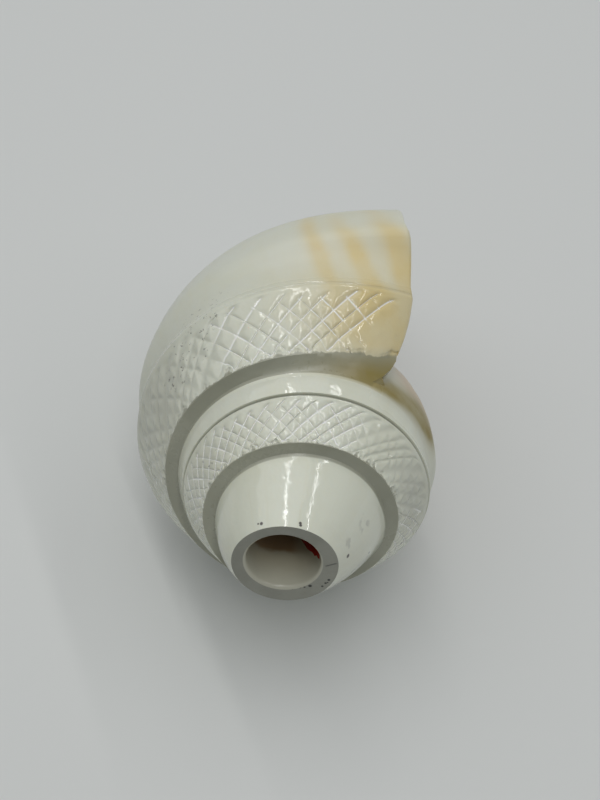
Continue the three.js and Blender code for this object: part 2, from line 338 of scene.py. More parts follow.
def hatch_depth(turn, row):
    """Depth of the long cuts and of the short cross cuts between them, as a share."""
    p, q = lines(turn, row)
    line, cross = np.rint(p).astype(int), np.rint(q).astype(int)
    worn = soft(turn)
    long = long_depth(line, row)
    short = short_depth(p, cross)
    near_lip = 1 - 0.7 * ease((turn + 0.07) / 0.05)
    quilt = np.maximum(short, 0.65) * near_lip * (1 - ease((row - 4.6) / 0.8))
    a, b = 2 * np.abs(p - line), 2 * np.abs(q - cross)
    long_cut = long * (score(a, worn) + pillow(a, worn))
    return np.maximum(long_cut, short * near_lip * score(b, worn) + quilt * pillow(b, worn))


def hand_shift(turn, row):
    """Uneven spacing of the hand-cut lines, in half lozenges along and across the band."""
    u = turn * HALF_CELLS
    a = between(line_shift, (u - row) / 2)
    b = between(stroke_shift, (u + row) / 2)
    calm = ease((turn - LEDGE_START) / 0.1) * ease(-turn / 0.03)
    edge = ease(row / 1.2) * ease((HATCH_CELLS - row) / 1.2)
    return (a + b) * calm, (b - a) * calm * edge


def chips(turns):
    """Coarse and fine chipping along the shoulder edge."""
    coarse = np.abs(between(nicks, turns * HALF_CELLS * 1.3))
    return (coarse + 0.7 * np.abs(between(nicks, turns * HALF_CELLS * 4.7)))[:, None]


def round_lip(sink):
    """Sinks the last two columns, so that the edge of the lip is round."""
    sink[-2] += LIP_ROUNDING[0]
    sink[-1] += LIP_ROUNDING[1]


def strip_rows():
    """Places of the rows below the ledge, and how far across the hatching they lie."""
    band_row = np.arange(BAND_CELLS + 1) / FINE
    band = BAND_S - band_row / HATCH_CELLS * (GROOVE_HALF + BAND_S)
    groove = np.linspace(-GROOVE_HALF, GROOVE_HALF, GROOVE_CELLS + 1)[1:]
    plain = np.linspace(GROOVE_HALF, SUTURE_S, SMOOTH_CELLS + 1)[1:]
    places = np.concatenate([band, groove, plain])
    beyond = len(places) - len(band_row)
    return places, np.pad(band_row, (0, beyond), constant_values=float(HATCH_CELLS))


def row_shares():
    """Shares of the way from the ledge's corner to the suture, for the rows below the ledge."""
    rows = BAND_CELLS + 1 + GROOVE_CELLS + SMOOTH_CELLS
    return (np.arange(rows) + LEDGE_CELLS) / (rows - 1 + LEDGE_CELLS)


def carved_band(turns):
    """Radius, height, turn and marks of the hatched band, the groove and the smooth strip below."""
    places, row = strip_rows()
    raw = np.broadcast_to(turns[:, None], (len(turns), len(places)))
    row = np.broadcast_to(row, raw.shape)
    hatched = np.arange(len(places)) <= BAND_CELLS
    shift_u, shift_v = hand_shift(raw, row)
    growth = raw + np.where(hatched, shift_u, 0) / HALF_CELLS
    s = places + np.where(hatched, -shift_v * (GROOVE_HALF + BAND_S) / HATCH_CELLS, 0)
    ragged = chips(turns)
    s = s + np.where(hatched, RAGGED_S * ragged * np.exp(-row), 0)
    t = column_turn(growth, s)

    cut = np.where(hatched, hatch_depth(raw, row), 0) * ease((HATCH_CELLS - row) / 0.4)
    shallow_edge = np.where(row < 0.5, 0.45 + 1.1 * row, 1)
    sink = HATCH_DEPTH * np.sqrt(size(t)) * cut * shallow_edge
    sink = sink + np.where(hatched, RAGGED_SINK * ragged * np.exp(-row / 0.18), 0)
    in_groove = ease(np.clip(1.5 - 1.5 * np.abs(s) / GROOVE_HALF, 0, 1) * ~hatched)
    worn = 1 - ease((turns + 0.62) / 0.1) * (0.92 - 0.22 * ease((turns + 0.2) / 0.06))
    sink = sink + GROOVE_DEPTH * in_groove * worn[:, None]
    round_lip(sink)
    r, h = offset(t, s, -sink)

    corner_r, corner_h = (x[:, None] for x in corner(turns))
    suture_r, suture_h = (x[:, None] for x in flank(turns, np.full_like(turns, SUTURE_S)))
    gain = ledge_gain(turns)[:, None]
    r = (corner_r + (suture_r - corner_r) * row_shares()) * (1 - gain) + r * gain
    h = (corner_h + (suture_h - corner_h) * row_shares()) * (1 - gain) + h * gain
    cut = cut + 1.2 * in_groove * worn[:, None]
    return r, h, t, (growth, s, cut, *lines(raw, row))


def ledge(turns):
    """Radius, height, turn and marks of the ledge, from its corner almost to the shoulder edge."""
    raw = np.broadcast_to(turns[:, None], (len(turns), LEDGE_CELLS))
    s = np.broadcast_to(BAND_S - LEDGE_S * (1 - LEDGE_SHARES), raw.shape)
    t = column_turn(turns[:, None], s)
    gain = ledge_gain(turns)[:, None]
    corner_r, corner_h = corner(t)
    undercut = ease((turns + 1.5) / 0.2)[:, None] * ease((-0.8 - turns) / 0.1)[:, None]
    corner_r = corner_r - UNDERCUT * undercut
    edge_r, edge_h = profile(t, np.full(t.shape, BAND_S))
    suture_r = flank(t, np.full(t.shape, SUTURE_S))[0]
    faded_r = corner_r + (suture_r - corner_r) * row_shares()[0]
    faded_h = corner_h + FADED_STEP_H
    edge_r = faded_r * (1 - gain) + edge_r * gain
    edge_h = faded_h * (1 - gain) + edge_h * gain
    r = corner_r + (edge_r - corner_r) * LEDGE_SHARES
    h = corner_h + (edge_h - corner_h) * LEDGE_SHARES + LEDGE_DIP * gain
    cut = np.broadcast_to(-gain, raw.shape)
    return r, h, t, (raw, s, cut, *lines(raw, np.zeros(raw.shape)))


def carved_strip(turns):
    """Points and marks of the whole strip, from the corner of the ledge to the next suture."""
    *upper, upper_marks = ledge(turns)
    *lower, lower_marks = carved_band(turns)
    r, h, t = (np.hstack(pair) for pair in zip(upper, lower))
    marks = [np.hstack(pair) for pair in zip(upper_marks, lower_marks)]
    return place(r, h, t), marks


def add_strip(skin, points, marks):
    """Carved strip, each turn sharing its last row with the first row of the next turn."""
    last = points.shape[1] - 1
    ids = np.zeros(points.shape[:2], int)
    ids[:, :last] = skin.grid(points[:, :last], *(m[:, :last] for m in marks))
    late = slice(SEAM + 1, None)
    ids[late, last] = skin.grid(points[late, last], *(m[late, last] for m in marks))
    ids[: SEAM + 1, last] = ids[PER_TURN:, 0]
    column = np.arange(COLUMNS)[:, None] - COLUMNS
    row = np.arange(last)[None] - LEDGE_CELLS
    beside = (column + row + 1 - FINE) % (2 * FINE)
    on_long_line = (beside <= 1) | (beside == 2 * FINE - 1)
    skin.quads(ids, (row >= 0) & (row < BAND_CELLS) & on_long_line)
    return ids


def add_last_turn(skin, turns, strip):
    """Base and canal of the last turn, below the carved strip."""
    steps = np.concatenate([np.linspace(SUTURE_S, 0.6, 15)[1:], np.linspace(0.6, 1, 8)[1:]])
    s = np.broadcast_to(steps, (PER_TURN + 1, len(steps)))
    t = column_turn(turns[SEAM:, None], s)
    sink = np.zeros(s.shape)
    round_lip(sink)
    r, h = offset(t, s, -sink)
    h[:, -1] = flank(np.zeros(1), np.ones(1))[1][0]
    body = np.empty((PER_TURN + 1, len(steps) + 1), int)
    body[:, 0] = strip[SEAM:, -1]
    body[:, 1:] = skin.grid(place(r, h, t), turns[SEAM:, None], s)
    skin.quads(body)
    return body


def close_lip_and_canal(skin, strip, body):
    """Face of the lip, and the flat end of the canal."""
    skin.zip(list(body[0]), list(strip[COLUMNS]) + list(body[PER_TURN, 1:]))
    end_r, end_h = flank(np.zeros(1), np.ones(1))
    hub = skin.grid(place(0.2 * end_r, end_h, np.array([0.5])), 0.0, 1.0)[0]
    skin.add(np.full(PER_TURN, hub), body[1:, -1], body[:-1, -1])
    skin.add([hub], [body[0, -1]], [body[PER_TURN, -1]])


def add_tip(skin, turns, points, strip):
    """Cone of the tip, with the edge of the saw cut a little rounded, and the saw cut itself."""
    column = np.arange(PER_TURN)
    angle = np.radians(LIP_ANGLE - 360 * (column - COLUMNS) / PER_TURN)
    x, y = TIP_R * np.cos(angle), TIP_R * np.sin(angle)
    top = np.stack([x, y, -(CUT_TILT_X * x + CUT_TILT_Y * y)], -1)
    foot = points[:PER_TURN, 0]
    k = np.arange(TIP_CELLS) / TIP_CELLS
    cone = top[:, None] + (foot - top)[:, None] * k[:, None]
    from_seam = np.minimum(column, PER_TURN - column) / PER_TURN
    crown = np.maximum(0, np.cos(angle - math.radians(REST_ROLL))) ** 2
    swell = TIP_BULGE * ease(from_seam / 0.125) * (1 - 0.85 * crown)
    out = swell[:, None] * np.sin(np.pi * k) - TIP_ROUNDING * np.exp(-k * TIP_CELLS / 0.5)
    cone[..., :2] *= (1 + out / np.hypot(cone[..., 0], cone[..., 1]))[..., None]
    tip = np.empty((PER_TURN, TIP_CELLS + 1), int)
    tip[:, :TIP_CELLS] = skin.grid(cone, turns[:PER_TURN, None] + TIP_T, TIP_S + 0.15 * k)
    tip[:, TIP_CELLS] = strip[:PER_TURN, 0]
    skin.quads(tip)
    skin.zip(list(tip[0, :TIP_CELLS]) + list(strip[0]), list(tip[-1]))
    centre = skin.grid(np.zeros((1, 3)), LEDGE_START, TIP_S - 0.1)[0]
    skin.add(np.full(PER_TURN, centre), tip[:, 0], np.roll(tip[:, 0], -1), sawn=1)


def outside():
    """Outer surface of the shell, closed, before the hollow and the bore are taken out."""
    skin = Skin()
    turns = (np.arange(COLUMNS + 1) - COLUMNS) / PER_TURN
    points, marks = carved_strip(turns)
    strip = add_strip(skin, points, marks)
    body = add_last_turn(skin, turns, strip)
    close_lip_and_canal(skin, strip, body)
    add_tip(skin, turns, points, strip)
    return skin.mesh("outside")


def hollow_wall(t):
    """Thickness of the outer wall at turn t."""
    thick = ease((-0.24 - t) / 0.2) * (1 - 0.85 * ease((-0.65 - t) / 0.2))
    bevel = LIP_BEVEL * np.exp(np.minimum(t, 0) / LIP_BEVEL_TURNS)
    return (LIP_WALL + (UNDER_WALL - LIP_WALL) * thick) * size(0.7 * t) - bevel


def columella_offset(t, s):
    """Height of the columella's surface over the turn inside, with its canal and folds."""
    open_canal = ease((t + 0.45) / 0.3) * (1 - ease((t - 0.03) / 0.12))
    canal = open_canal * ease((s - 0.6) / 0.3)
    join = 5 * ease((-1.9 - t) / 0.3)
    ribs = np.sin(np.pi * (s - FOLD_FIRST) / FOLD_S) ** 2
    fold = FOLD_HEIGHT * size(t) * np.where((s > FOLD_FIRST) & (s < FOLD_LAST), ribs, 0)
    return CALLUS - (CALLUS + CANAL_DEPTH) * canal - join + fold


def squeeze(t, s):
    """Places of the section, drawn up from the canal in the early turns."""
    reach = 0.72 + 0.28 * ease((t + 0.5) / 0.35)
    shortened = SQUEEZE_S + (s - SQUEEZE_S) * (reach - SQUEEZE_S) / (1 - SQUEEZE_S)
    return np.where(s < SQUEEZE_S, s, shortened)


def hollow():
    """Coiled hollow: each section runs down the wall to the canal, then back up the columella."""
    skin = Skin()
    count = round((HOLLOW_END - HOLLOW_START) * HOLLOW_STEPS)
    t = (HOLLOW_END - np.arange(count, -1, -1) / HOLLOW_STEPS)[:, None]
    wall_s = np.linspace(-0.13, 1, 24)[None]
    folds = np.linspace(0.69, 0.5, 20)
    inner_s = np.concatenate([np.linspace(1, 0.7, 9), folds, np.linspace(0.47, 0.35, 5)])[None]
    wall_at, inner_at = squeeze(t, wall_s), squeeze(t, inner_s)
    wall_t, inner_t = np.broadcast_to(t, wall_at.shape), np.broadcast_to(t - 1, inner_at.shape)
    wall_r, wall_h = offset(wall_t, wall_at, -np.broadcast_to(hollow_wall(t), wall_at.shape))
    inner_r, inner_h = offset(inner_t, inner_at, columella_offset(t, inner_s))
    run_out = 6 * ease((t + 0.32) / 0.15)
    wall_h = wall_h + run_out * np.clip((wall_s - 0.82) / 0.18, 0, 1)
    inner_h = inner_h + run_out * np.clip((inner_s - 0.86) / 0.14, 0, 1)
    r, h = np.hstack([wall_r, inner_r]), np.hstack([wall_h, inner_h])
    ids = skin.grid(place(r, h, np.broadcast_to(t, r.shape)), t, np.hstack([wall_at, inner_at]))
    skin.quads(np.hstack([ids, ids[:, :1]]))
    walls = wall_s.shape[1]
    skin.zip(list(ids[0, :walls]), list(ids[0, walls:][::-1]))
    skin.zip(list(ids[-1, walls:][::-1]), list(ids[-1, :walls]))
    return skin.mesh("hollow")


def bore_section(angle):
    """Radius and depth of the bore around the tip, from its end out to the bevel."""
    low_side = np.maximum(0, -np.cos(angle - math.radians(REST_ROLL))) ** 2
    depth = np.concatenate([np.linspace(18.6, 10, 7), np.linspace(9, 1.6, 13)])
    taper = 1 - 0.06 * depth / BORE_DEPTH
    straight = BORE_R * np.sqrt(1 - (depth / BORE_DEPTH) ** 5) * taper
    cup = np.minimum(straight, np.interp(depth, CUP_DEPTHS, CUP_RADII))
    wide = 0.25 + 0.3 * (1 + np.cos(angle - math.radians(BEVEL_WIDEST)))
    r = np.hstack([straight + (cup - straight) * low_side, BORE_R + BEVEL_OUT * wide])
    d = np.hstack([np.broadcast_to(depth, (BORE_SIDES, len(depth))), BEVEL_DOWN * wide])
    return r, d


def bore():
    """Blow hole: a rounded cup below, with the throat opening above and behind it."""
    skin = Skin()
    angle = np.linspace(0, 2 * np.pi, BORE_SIDES + 1)[:-1][:, None]
    r, d = bore_section(angle)
    x, y = BORE_X + r * np.cos(angle), BORE_Y + r * np.sin(angle)
    z = -d - (CUT_TILT_X * x + CUT_TILT_Y * y) * np.clip(1 - d / 3, 0, 1)
    around = (REST_ROLL - 90 - np.degrees(angle)) % 360
    red = ease((d - 3.6 - 0.19 * (around - 15)) / 0.8)
    red = red * ease((around - 11) / 5) * ease((62 - around) / 6)
    ids = skin.grid(np.stack([x, y, z], -1), BORE_T, BORE_S + red, d)
    skin.quads(np.vstack([ids, ids[:1]]))
    low = skin.grid([[BORE_X, BORE_Y, -BORE_DEPTH]], BORE_T, BORE_S, BORE_DEPTH)[0]
    high = skin.grid([[BORE_X, BORE_Y, 2.0]], BORE_T, BORE_S)[0]
    skin.add(np.full(BORE_SIDES, low), ids[:, 0], np.roll(ids[:, 0], -1))
    skin.add(np.full(BORE_SIDES, high), np.roll(ids[:, -1], -1), ids[:, -1])
    return skin.mesh("bore")


def add_object(mesh, *materials):
    obj = bpy.data.objects.new(mesh.name, mesh)
    bpy.context.collection.objects.link(obj)
    for material in materials:
        mesh.materials.append(material)
    return obj


def joined(base, cutters):
    """The outer surface with the hollow and the bore taken out of it."""
    for cutter in cutters:
        cut = base.modifiers.new(cutter.name, "BOOLEAN")
        cut.operation = "DIFFERENCE"
        cut.solver = "MANIFOLD"
        cut.object = cutter
        cut.material_mode = "TRANSFER"
    whole = base.evaluated_get(bpy.context.evaluated_depsgraph_get())
    mesh = bpy.data.meshes.new_from_object(whole)
    for obj in (base, *cutters):
        bpy.data.objects.remove(obj)
    return mesh


# Stains on the coil: share, place as turn and s, width in turns, height in s, and lean
TAN_SPOTS = [
    (0.85, (-0.086, 0.18), 0.008, 0.24, -0.043),
    (0.85, (-0.050, 0.13), 0.009, 0.20, -0.082),
    (1.0, (-0.010, 0.13), 0.013, 0.24, -0.084),
    (1.0, (-0.026, -0.075), 0.022, 0.07, -0.1),
    (0.5, (-0.040, -0.14), 0.045, 0.16, 0.0),
    (0.4, (-0.06, 0.05), 0.06, 0.25, 0.0),
    (0.7, (-0.004, -0.12), 0.012, 0.3, 0.0),
    (0.5, (-0.035, -0.19), 0.03, 0.06, 0.0),
]
BROWN_SPOTS = [
    (0.95, (-0.01, -0.285), 0.06, 0.035, 0.0),
    (0.5, (-1.02, 0.135), 0.09, 0.018, 0.0),
    (0.4, (-1.2, 0.14), 0.12, 0.02, 0.0),
]
GREY_SPOTS = [
    (0.8, (-0.30, -0.08), 0.10, 0.24, 0.0),
    (0.5, (-1.28, -0.13), 0.09, 0.12, 0.0),
    (0.9, (-0.86, -0.12), 0.07, 0.14, 0.0),
]
PIT_SPOTS = [
    (1.0, (-0.205, -0.01), 0.03, 0.06, 0.0),
    (1.0, (-0.23, -0.11), 0.04, 0.06, 0.0),
    (0.7, (-1.26, -0.14), 0.06, 0.06, 0.0),
    (0.6, (-0.117, 0.05), 0.012, 0.02, 0.0),
    (0.55, (-0.20, 0.10), 0.05, 0.07, 0.0),
]


def spotted(t, s, spots):
    """Sum of soft spots on the coil, leaning with the growth lines."""
    total = 0.0
    for share, (at_t, at_s), wide, tall, lean in spots:
        along = (t - at_t - lean * (s - at_s)) / wide
        total = total + share * np.exp(-(along**2) - ((s - at_s) / tall) ** 2)
    return total


def stains(t, s):
    """Shares of each stain, of pitting and of wear at places on the coil."""
    beyond_lip = ease((t + 1.02) / 0.03) * ease((-0.86 - t) / 0.08)
    suture_line = np.exp(-(((s - 0.25 - 0.5 * (t + 0.96)) / 0.075) ** 2))
    brown = spotted(t, s, BROWN_SPOTS) + 2.2 * beyond_lip * suture_line
    peach = ease((t + 1.0) / 0.05) * ease((-0.7 - t) / 0.1) * ease((s - 0.3) / 0.08)
    shares = {
        "tan": spotted(t, s, TAN_SPOTS),
        "brown": brown,
        "grey": spotted(t, s, GREY_SPOTS),
        "peach": peach,
        "pits": spotted(t, s, PIT_SPOTS),
        "worn": soft(t),
    }
    return {name: np.clip(share, 0, 1) for name, share in shares.items()}


def node(tree, kind, **settings):
    made = tree.nodes.new(kind)
    for name, value in settings.items():
        setattr(made, name, value)
    return made


def feed(tree, socket, value):
    """Links a socket to a value that is a socket, or sets it to a plain value."""
    if isinstance(value, bpy.types.NodeSocket):
        tree.links.new(value, socket)
    else:
        socket.default_value = value


def attribute(tree, name):
    return node(tree, "ShaderNodeAttribute", attribute_name=name).outputs["Fac"]


def math_node(tree, operation, a, b):
    made = node(tree, "ShaderNodeMath", operation=operation)
    feed(tree, made.inputs[0], a)
    feed(tree, made.inputs[1], b)
    return made.outputs[0]


def times(tree, a, b):
    return math_node(tree, "MULTIPLY", a, b)


def plus(tree, a, b):
    return math_node(tree, "ADD", a, b)


def larger(tree, a, b):
    return math_node(tree, "MAXIMUM", a, b)


def blend_colour(tree, share, a, b):
    made = node(tree, "ShaderNodeMix", data_type="RGBA", clamp_factor=True)
    feed(tree, made.inputs["Factor"], share)
    feed(tree, made.inputs["A"], a)
    feed(tree, made.inputs["B"], b)
    return made.outputs["Result"]


def ramp(tree, value, low, high, start=0.0, end=1.0):
    """Smooth change from start to end while the value goes from low to high."""
    made = node(tree, "ShaderNodeMapRange", clamp=True, interpolation_type="SMOOTHSTEP")
    for n, x in enumerate((value, low, high, start, end)):
        feed(tree, made.inputs[n], x)
    return made.outputs["Result"]


def mark_ramp(tree, name, low, high, start=0.0, end=1.0):
    """Smooth change by one of the marks of the mesh."""
    return ramp(tree, attribute(tree, name), low, high, start, end)


def noise(tree, vector, scale, detail=3.0, rough=0.5):
    made = node(tree, "ShaderNodeTexNoise")
    feed(tree, made.inputs["Vector"], vector)
    made.inputs["Scale"].default_value = scale
    made.inputs["Detail"].default_value = detail
    made.inputs["Roughness"].default_value = rough
    return made.outputs["Fac"]


def specks(tree, position, places):
    """Share of small round marks at given places, each with its radius, in millimetres."""
    total = 0.0
    for x, y, z, radius in places:
        away = node(tree, "ShaderNodeVectorMath", operation="DISTANCE")
        feed(tree, away.inputs[0], position)
        away.inputs[1].default_value = (x / 1000, y / 1000, z / 1000)
        spot = ramp(tree, away.outputs["Value"], radius * 0.0005, radius * 0.001, 1.0, 0.0)
        total = larger(tree, spot, total)
    return total


def hairline(tree, position, start, end, width):
    """Share of a thin straight crack from start to end, in millimetres."""
    start, end = np.array(start) / 1000, np.array(end) / 1000
    length = float(np.linalg.norm(end - start))
    fade = 0.0005
    from_start = node(tree, "ShaderNodeVectorMath", operation="SUBTRACT")
    feed(tree, from_start.inputs[0], position)
    from_start.inputs[1].default_value = tuple(start)
    along = node(tree, "ShaderNodeVectorMath", operation="DOT_PRODUCT")
    across = node(tree, "ShaderNodeVectorMath", operation="CROSS_PRODUCT")
    for made in (along, across):
        feed(tree, made.inputs[0], from_start.outputs["Vector"])
        made.inputs[1].default_value = tuple((end - start) / length)
    away = node(tree, "ShaderNodeVectorMath", operation="LENGTH")
    feed(tree, away.inputs[0], across.outputs["Vector"])
    thin = ramp(tree, away.outputs["Value"], 0.0, width / 1000, 1.0, 0.0)
    after = ramp(tree, along.outputs["Value"], 0.0, fade)
    before = ramp(tree, along.outputs["Value"], length - fade, length, 1.0, 0.0)
    return times(tree, thin, times(tree, after, before))


def growth_vector(tree, per_turn, per_along):
    """Coordinates that stretch a noise along the growth lines."""
    combined = node(tree, "ShaderNodeCombineXYZ")
    feed(tree, combined.inputs[0], times(tree, attribute(tree, "turn"), per_turn))
    feed(tree, combined.inputs[1], times(tree, attribute(tree, "along"), per_along))
    return combined.outputs[0]


def bump(tree, shader, height):
    """Relief of a tenth of a millimetre for a height of one."""
    made = node(tree, "ShaderNodeBump")
    made.inputs["Strength"].default_value = 1.0
    made.inputs["Distance"].default_value = 0.0001
    feed(tree, made.inputs["Height"], height)
    feed(tree, shader.inputs["Normal"], made.outputs["Normal"])


def new_material(name):
    material = bpy.data.materials.new(name)
    material.use_nodes = True
    tree = material.node_tree
    shader = tree.nodes["Principled BSDF"]
    position = node(tree, "ShaderNodeNewGeometry").outputs["Position"]
    return material, tree, shader, position


# Small marks: place and radius in millimetres
CONE_SPECKS = [
    (-1.2, -53.1, 60.3, 0.45),
    (-1.9, -53.1, 60.1, 0.3),
    (6.4, -52.6, 61.1, 0.4),
    (6.5, -53.0, 61.0, 0.4),
    (16.56, -53.66, 51.28, 0.6),
    (21.23, -48.41, 43.35, 0.35),
    (29.0, -39.7, 32.5, 0.4),
]
CONE_CLOUDS = [(19.4, -46.6, 52.5, 2.6), (16.5, -51.9, 53.6, 1.7)]
RING_SPECKS = [
    (9.5, -58.2, 45.1, 0.5),
    (8.4, -58.3, 44.6, 0.3),
    (7.5, -58.4, 44.4, 0.3),
    (5.9, -58.7, 43.9, 0.3),
    (13.2, -57.4, 47.2, 0.4),
    (12.6, -57.7, 46.2, 0.35),
    (12.0, -58.0, 45.2, 0.35),
    (13.0, -57.6, 46.4, 0.25),
]
RING_CRACK = ((12.0, -56.39, 51.0), (14.6, -55.95, 52.2), 0.3)

# Colours of the outer glaze
IVORY, FLANK_IVORY = (0.71, 0.725, 0.61, 1), (0.69, 0.705, 0.61, 1)
WARM_IVORY, STREAK_TAN = (0.67, 0.675, 0.54, 1), (0.66, 0.63, 0.46, 1)
WORN_GREY, PEACH, TAN = (0.50, 0.505, 0.43, 1), (0.66, 0.55, 0.42, 1), (0.70, 0.575, 0.29, 1)
MOTTLED_GREY, BROWN, CUT_DARK_GREY = (0.42, 0.42, 0.37, 1), (0.25, 0.19, 0.035, 1), (0.40, 0.40, 0.35, 1)
# The ledge grey on the next line is painted shade on the undercut ledge faces.
LEDGE_SHADE_GREY, GROOVE_SHADE_GREY = (0.31, 0.31, 0.235, 1), (0.30, 0.30, 0.26, 1)
SCORED_GLINT_WHITE, PIT_BLACK = (0.95, 0.95, 0.9, 1), (0.12, 0.11, 0.10, 1)

# Colours of the sawn ring, the inside and the bore
# The ring's two greys are partly painted shade of a face turned away from the light, partly the matte
# sawn surface.
SAWN_SHADED_PALE, SAWN_SHADED_DARK = (0.30, 0.30, 0.25, 1), (0.255, 0.255, 0.21, 1)
CRACK_GREY, SPECK_BLACK = (0.10, 0.10, 0.085, 1), (0.03, 0.03, 0.025, 1)
INNER_PALE, INNER_WARM, INNER_DEEP_SHADE = (0.80, 0.74, 0.65, 1), (0.74, 0.63, 0.50, 1), (0.62, 0.44, 0.33, 1)
CUP_PALE, CUP_WARM_SHADED = (0.46, 0.45, 0.36, 1), (0.42, 0.39, 0.29, 1)
THROAT_SHADE_BROWN, STAIN_RED = (0.27, 0.18, 0.10, 1), (0.30, 0.018, 0.010, 1)


def scored_glint_and_relief(tree, cut):
    """Share of the thin bottoms of the scored lines, lightened as a painted glint and cut into the
    relief.
    """
    width = mark_ramp(tree, "turn", -1.1, -0.5, 0.13, 0.085)
    near = []
    for name in ("line", "cross"):
        folded = math_node(tree, "PINGPONG", attribute(tree, name), 0.5)
        near.append(ramp(tree, folded, 0.0, width, 1.0, 0.0))
    deep = times(tree, larger(tree, near[0], near[1]), ramp(tree, cut, 0.3, 0.6))
    deep = times(tree, deep, mark_ramp(tree, "worn", 0.2, 0.7, 1.0, 0.0))
    return times(tree, deep, mark_ramp(tree, "along", -0.02, -0.014, 1.0, 0.0))


def ledge_shade_and_satin(tree, cut, clouds):
    """Share of the ledge faces and of their chipped rim, which darkens them as painted shade and makes
    them rougher.
    """
    face = ramp(tree, cut, -0.98, -0.72, 0.95, 0.0)
    outer = mark_ramp(tree, "along", -0.262, -0.256)
    inner = mark_ramp(tree, "along", -0.21, -0.2, 1.0, 0.0)
    rim = times(tree, times(tree, outer, inner), ramp(tree, cut, -0.6, -0.1, 0.95, 0.0))
    return times(tree, larger(tree, face, rim), ramp(tree, clouds, 0.3, 0.7, 1.0, 0.8))


def grown_colour(tree, position, clouds, fine):
    """Ivory of the shell with its clouds, growth streaks and stains."""
    streaks = noise(tree, growth_vector(tree, 70, 2.5), 1.0, 4.0, 0.6)
    colour = blend_colour(tree, mark_ramp(tree, "along", 0.02, 0.15), IVORY, FLANK_IVORY)
    colour = blend_colour(tree, ramp(tree, clouds, 0.4, 0.7, 0, 0.6), colour, WARM_IVORY)
    colour = blend_colour(tree, ramp(tree, streaks, 0.5, 0.75, 0, 0.2), colour, STREAK_TAN)
    grey = times(tree, attribute(tree, "grey"), ramp(tree, streaks, 0.25, 0.6, 0.6, 1.0))
    colour = blend_colour(tree, grey, colour, WORN_GREY)
    colour = blend_colour(tree, attribute(tree, "peach"), colour, PEACH)
    tan = times(tree, attribute(tree, "tan"), ramp(tree, clouds, 0.35, 0.6, 0.75, 1.0))
    colour = blend_colour(tree, tan, colour, TAN)
    mottling = times(tree, specks(tree, position, CONE_CLOUDS), ramp(tree, fine, 0.45, 0.6, 0.0, 0.5))
    return blend_colour(tree, mottling, colour, MOTTLED_GREY)


def carved_colour(tree, colour, clouds, cut, rough, scored):
    """Tints: painted shade on the ledges and in the groove, the brown corners, patches darker in the
    deeper cuts, and a painted glint on the scored lines.
    """
    # Painted shade: the ledge faces and their chipped rim are darkened.
    colour = blend_colour(tree, rough, colour, LEDGE_SHADE_GREY)
    brown = times(tree, attribute(tree, "brown"), ramp(tree, clouds, 0.3, 0.55, 0.8, 1.0))
    colour = blend_colour(tree, brown, colour, BROWN)
    # Patches darker where the hatching cuts and the groove are deeper.
    darker_in_cuts = times(tree, cut, ramp(tree, clouds, 0.3, 0.65, 0.0, 0.15))
    colour = blend_colour(tree, darker_in_cuts, colour, CUT_DARK_GREY)
    # Painted glint: the scored lines are lightened almost to white.
    colour = blend_colour(tree, times(tree, scored, 0.9), colour, SCORED_GLINT_WHITE)
    # Painted shade in the carved groove below the band, darker where it is deeper.
    below_band = mark_ramp(tree, "along", -0.014, -0.01)
    groove = times(tree, below_band, ramp(tree, cut, 0.1, 0.9, 0, 0.45))
    return blend_colour(tree, groove, colour, GROOVE_SHADE_GREY)


def dark_pits(tree, position):
    """Share of the dark pits and of the specks on the cone."""
    pits = ramp(tree, noise(tree, position, 1000, 4.0, 0.6), 0.605, 0.66)
    pits = times(tree, pits, mark_ramp(tree, "pits", 0.25, 0.7, 0.0, 0.7))
    return larger(tree, pits, specks(tree, position, CONE_SPECKS))


def glaze_roughness(tree, rough, fine):
    """Glossy where it was polished, satin on the flank of the last turn and on the ledges."""
    flank_satin = mark_ramp(tree, "along", 0.0, 0.08, 0.0, 0.36)
    satin = times(tree, flank_satin, mark_ramp(tree, "turn", -1.06, -0.98))
    satin = plus(tree, satin, times(tree, rough, 0.25))
    return plus(tree, satin, ramp(tree, fine, 0.3, 0.7, 0.06, 0.13))


def glaze_height(tree, position, scored):
    """Ripples of the polish, weaker on the cone and almost none on the flank, and the scored lines."""
    ripple = times(tree, noise(tree, position, 330, 2.0), mark_ramp(tree, "along", 0.05, 0.2, 1.6, 0.05))
    ripple = times(tree, ripple, mark_ramp(tree, "along", -0.35, -0.3, 0.65, 1.0))
    return math_node(tree, "SUBTRACT", ripple, times(tree, scored, 0.8))


def glazed_shell():
    material, tree, shader, position = new_material("glazed_shell")
    clouds = noise(tree, position, 70, 3.0)
    fine = noise(tree, position, 600, 2.0)
    cut = attribute(tree, "cut")
    rough = ledge_shade_and_satin(tree, cut, clouds)
    scored = scored_glint_and_relief(tree, cut)
    colour = grown_colour(tree, position, clouds, fine)
    colour = carved_colour(tree, colour, clouds, cut, rough, scored)
    colour = blend_colour(tree, dark_pits(tree, position), colour, PIT_BLACK)
    feed(tree, shader.inputs["Base Color"], colour)
    feed(tree, shader.inputs["Roughness"], glaze_roughness(tree, rough, fine))
    shader.inputs["IOR"].default_value = 1.53
    shader.inputs["Subsurface Weight"].default_value = 0.12
    shader.inputs["Subsurface Radius"].default_value = (1.0, 0.8, 0.55)
    shader.inputs["Subsurface Scale"].default_value = 0.0012
    bump(tree, shader, glaze_height(tree, position, scored))
    return material


